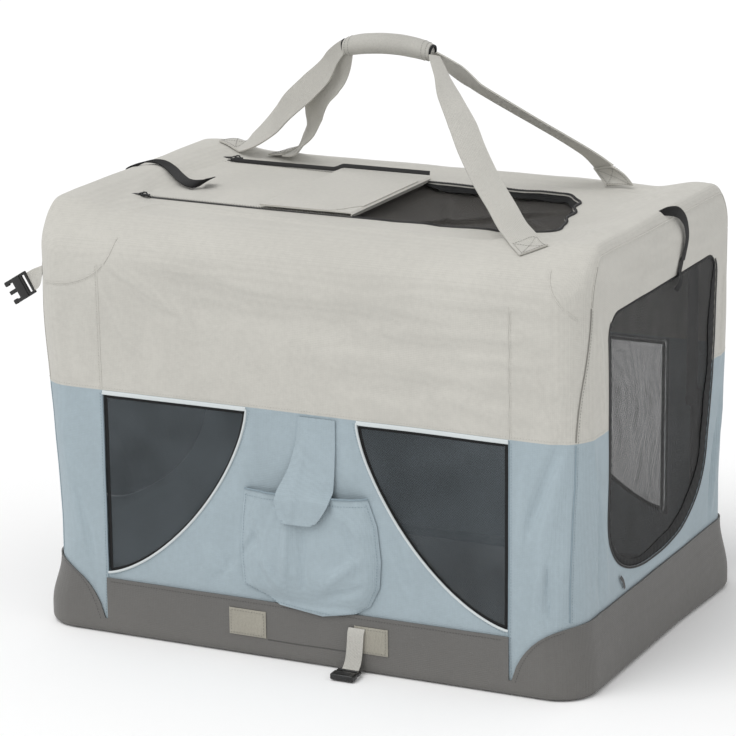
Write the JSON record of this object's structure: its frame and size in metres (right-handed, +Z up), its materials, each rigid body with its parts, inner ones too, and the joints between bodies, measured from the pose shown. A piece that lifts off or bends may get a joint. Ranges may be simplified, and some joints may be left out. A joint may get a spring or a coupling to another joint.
{
  "type": "soft folding dog crate",
  "caption": "Folding fabric dog crate on a hinged tube frame, with mesh windows, end doors, a roof hatch, a front pocket and a carrying handle.",
  "frame": {"origin": "on the floor, under the middle of the base", "axes": "+X along the long side to the end with the clear doorway, +Y from the pocket's side to the back, +Z up"},
  "size_m": [0.8706, 0.6267, 0.8129],
  "materials": {
    "blue_cloth": "matt woven polyester",
    "beige_cloth": "matt woven polyester",
    "grey_cloth": "coated woven polyester",
    "black_trim": "woven binding tape",
    "netting": "fine hexagonal netting",
    "webbing": "woven webbing",
    "mat_cloth": "soft brushed fleece",
    "board_plastic": "plain",
    "black_plastic": "satin moulded",
    "painted_steel": "powder coated"
  },
  "bodies": {
    "base": {"base_tub": "grey_cloth", "base_ring": "painted_steel", "floor_board": "board_plastic", "floor_mat": "mat_cloth", "front_panel_lower": "blue_cloth", "front_panel_upper": "beige_cloth", "back_panel_lower": "blue_cloth", "back_panel_upper": "beige_cloth", "left_panel_lower": "blue_cloth", "left_panel_upper": "beige_cloth", "right_panel_lower": "blue_cloth", "right_panel_upper": "beige_cloth", "window_mesh_front_left": "netting", "window_mesh_front_right": "netting", "window_mesh_back_left": "netting", "window_mesh_back_right": "netting", "pocket": "blue_cloth", "base_patch_left": "webbing", "base_patch_right": "webbing", "left_wall_tie": "black_trim", "right_wall_tie": "black_trim"},
    "roof": {"roof_cap": "beige_cloth", "hatch_mesh": "netting", "hatch_cover": "beige_cloth", "hatch_zip": "black_trim", "roof_arch_left": "painted_steel", "roof_arch_right": "painted_steel", "roof_rail_front": "painted_steel", "roof_rail_back": "painted_steel", "left_roof_tie": "black_trim", "right_roof_tie": "black_trim", "handle_strap_front_left": "webbing", "handle_strap_front_right": "webbing", "handle_strap_back_left": "webbing", "handle_strap_back_right": "webbing"},
    "lower_leg_front_left": {"lower_leg_front_left": "painted_steel"},
    "upper_leg_front_left": {"upper_leg_front_left": "painted_steel"},
    "lower_leg_front_right": {"lower_leg_front_right": "painted_steel"},
    "upper_leg_front_right": {"upper_leg_front_right": "painted_steel"},
    "lower_leg_back_left": {"lower_leg_back_left": "painted_steel"},
    "upper_leg_back_left": {"upper_leg_back_left": "painted_steel"},
    "lower_leg_back_right": {"lower_leg_back_right": "painted_steel"},
    "upper_leg_back_right": {"upper_leg_back_right": "painted_steel"},
    "left_door": {"left_door_binding": "black_trim", "left_door_mesh": "netting", "left_door_tie": "black_trim"},
    "right_door": {"right_door_binding": "black_trim", "right_door_mesh": "netting", "right_door_tie": "black_trim"},
    "flap_inner": {"hatch_flap_inner": "beige_cloth"},
    "flap_outer": {"hatch_flap_outer": "beige_cloth"},
    "zip_slider_front": {"zip_slider_front": "black_plastic"},
    "zip_slider_back": {"zip_slider_back": "black_plastic"},
    "grip": {"handle_grip": "webbing"},
    "pocket_tab": {"pocket_tab": "blue_cloth"},
    "corner_buckle": {"corner_webbing": "webbing", "corner_buckle": "black_plastic"},
    "closure": {"closure_webbing": "webbing", "closure_buckle": "black_plastic"}
  },
  "joints": [
    {"name": "front_left_leg_fold", "type": "hinge", "parent": "base", "child": "lower_leg_front_left", "pos_m": [-0.36, -0.2566, 0.045], "axis": [0, -1, 0], "range_deg": [-80, 0]},
    {"name": "front_left_knee", "type": "hinge", "parent": "lower_leg_front_left", "child": "upper_leg_front_left", "pos_m": [-0.36, -0.2386, 0.28], "axis": [0, -1, 0], "range_deg": [0, 160]},
    {"name": "front_right_leg_fold", "type": "hinge", "parent": "base", "child": "lower_leg_front_right", "pos_m": [0.36, -0.2566, 0.045], "axis": [0, -1, 0], "range_deg": [0, 80]},
    {"name": "front_right_knee", "type": "hinge", "parent": "lower_leg_front_right", "child": "upper_leg_front_right", "pos_m": [0.36, -0.2386, 0.28], "axis": [0, -1, 0], "range_deg": [-160, 0]},
    {"name": "back_left_leg_fold", "type": "hinge", "parent": "base", "child": "lower_leg_back_left", "pos_m": [-0.36, 0.2566, 0.045], "axis": [0, -1, 0], "range_deg": [-80, 0]},
    {"name": "back_left_knee", "type": "hinge", "parent": "lower_leg_back_left", "child": "upper_leg_back_left", "pos_m": [-0.36, 0.2386, 0.28], "axis": [0, -1, 0], "range_deg": [0, 160]},
    {"name": "back_right_leg_fold", "type": "hinge", "parent": "base", "child": "lower_leg_back_right", "pos_m": [0.36, 0.2566, 0.045], "axis": [0, -1, 0], "range_deg": [0, 80]},
    {"name": "back_right_knee", "type": "hinge", "parent": "lower_leg_back_right", "child": "upper_leg_back_right", "pos_m": [0.36, 0.2386, 0.28], "axis": [0, -1, 0], "range_deg": [-160, 0]},
    {"name": "roof_lift", "type": "hinge", "parent": "upper_leg_front_left", "child": "roof", "pos_m": [-0.36, -0.2566, 0.515], "axis": [0, -1, 0], "range_deg": [-80, 0]},
    {"name": "left_door_swing", "type": "hinge", "parent": "base", "child": "left_door", "pos_m": [-0.4067, 0, 0.508], "axis": [0, 1, 0], "range_deg": [0, 100]},
    {"name": "right_door_swing", "type": "hinge", "parent": "base", "child": "right_door", "pos_m": [0.4067, 0, 0.508], "axis": [0, -1, 0], "range_deg": [0, 100]},
    {"name": "flap_fold", "type": "hinge", "parent": "roof", "child": "flap_inner", "pos_m": [0.004, 0, 0.5926], "axis": [0, 1, 0], "range_deg": [0, 180]},
    {"name": "flap_second_fold", "type": "hinge", "parent": "flap_inner", "child": "flap_outer", "pos_m": [-0.134, 0, 0.5952], "axis": [0, 1, 0], "range_deg": [-180, 0]},
    {"name": "front_zip_slide", "type": "slide", "parent": "roof", "child": "zip_slider_front", "axis": [1, 0, 0], "range_m": [0, 0.5]},
    {"name": "back_zip_slide", "type": "slide", "parent": "roof", "child": "zip_slider_back", "axis": [1, 0, 0], "range_m": [0, 0.5]},
    {"name": "grip_drop", "type": "slide", "parent": "roof", "child": "grip", "axis": [0, 0, 1], "range_m": [-0.176, 0], "deforming": ["handle_strap_front_left", "handle_strap_front_right", "handle_strap_back_left", "handle_strap_back_right"]},
    {"name": "pocket_tab_swing", "type": "hinge", "parent": "base", "child": "pocket_tab", "pos_m": [0.002, -0.28825, 0.3455], "axis": [-1, 0, 0], "range_deg": [0, 120]},
    {"name": "corner_buckle_swing", "type": "hinge", "parent": "roof", "child": "corner_buckle", "pos_m": [-0.408, -0.24, 0.528], "axis": [0, 1, 0], "range_deg": [0, 90]},
    {"name": "closure_swing", "type": "hinge", "parent": "base", "child": "closure", "pos_m": [0.074, -0.2936, 0.062], "axis": [-1, 0, 0], "range_deg": [0, 90]}
  ],
  "couplings": [
    {"joint": "front_left_knee", "follows": "front_left_leg_fold", "ratio": -2},
    {"joint": "front_right_leg_fold", "follows": "front_left_leg_fold", "ratio": -1},
    {"joint": "front_right_knee", "follows": "front_left_leg_fold", "ratio": 2},
    {"joint": "back_left_leg_fold", "follows": "front_left_leg_fold", "ratio": 1},
    {"joint": "back_left_knee", "follows": "front_left_leg_fold", "ratio": -2},
    {"joint": "back_right_leg_fold", "follows": "front_left_leg_fold", "ratio": -1},
    {"joint": "back_right_knee", "follows": "front_left_leg_fold", "ratio": 2},
    {"joint": "roof_lift", "follows": "front_left_leg_fold", "ratio": 1},
    {"joint": "flap_second_fold", "follows": "flap_fold", "ratio": -1}
  ]
}
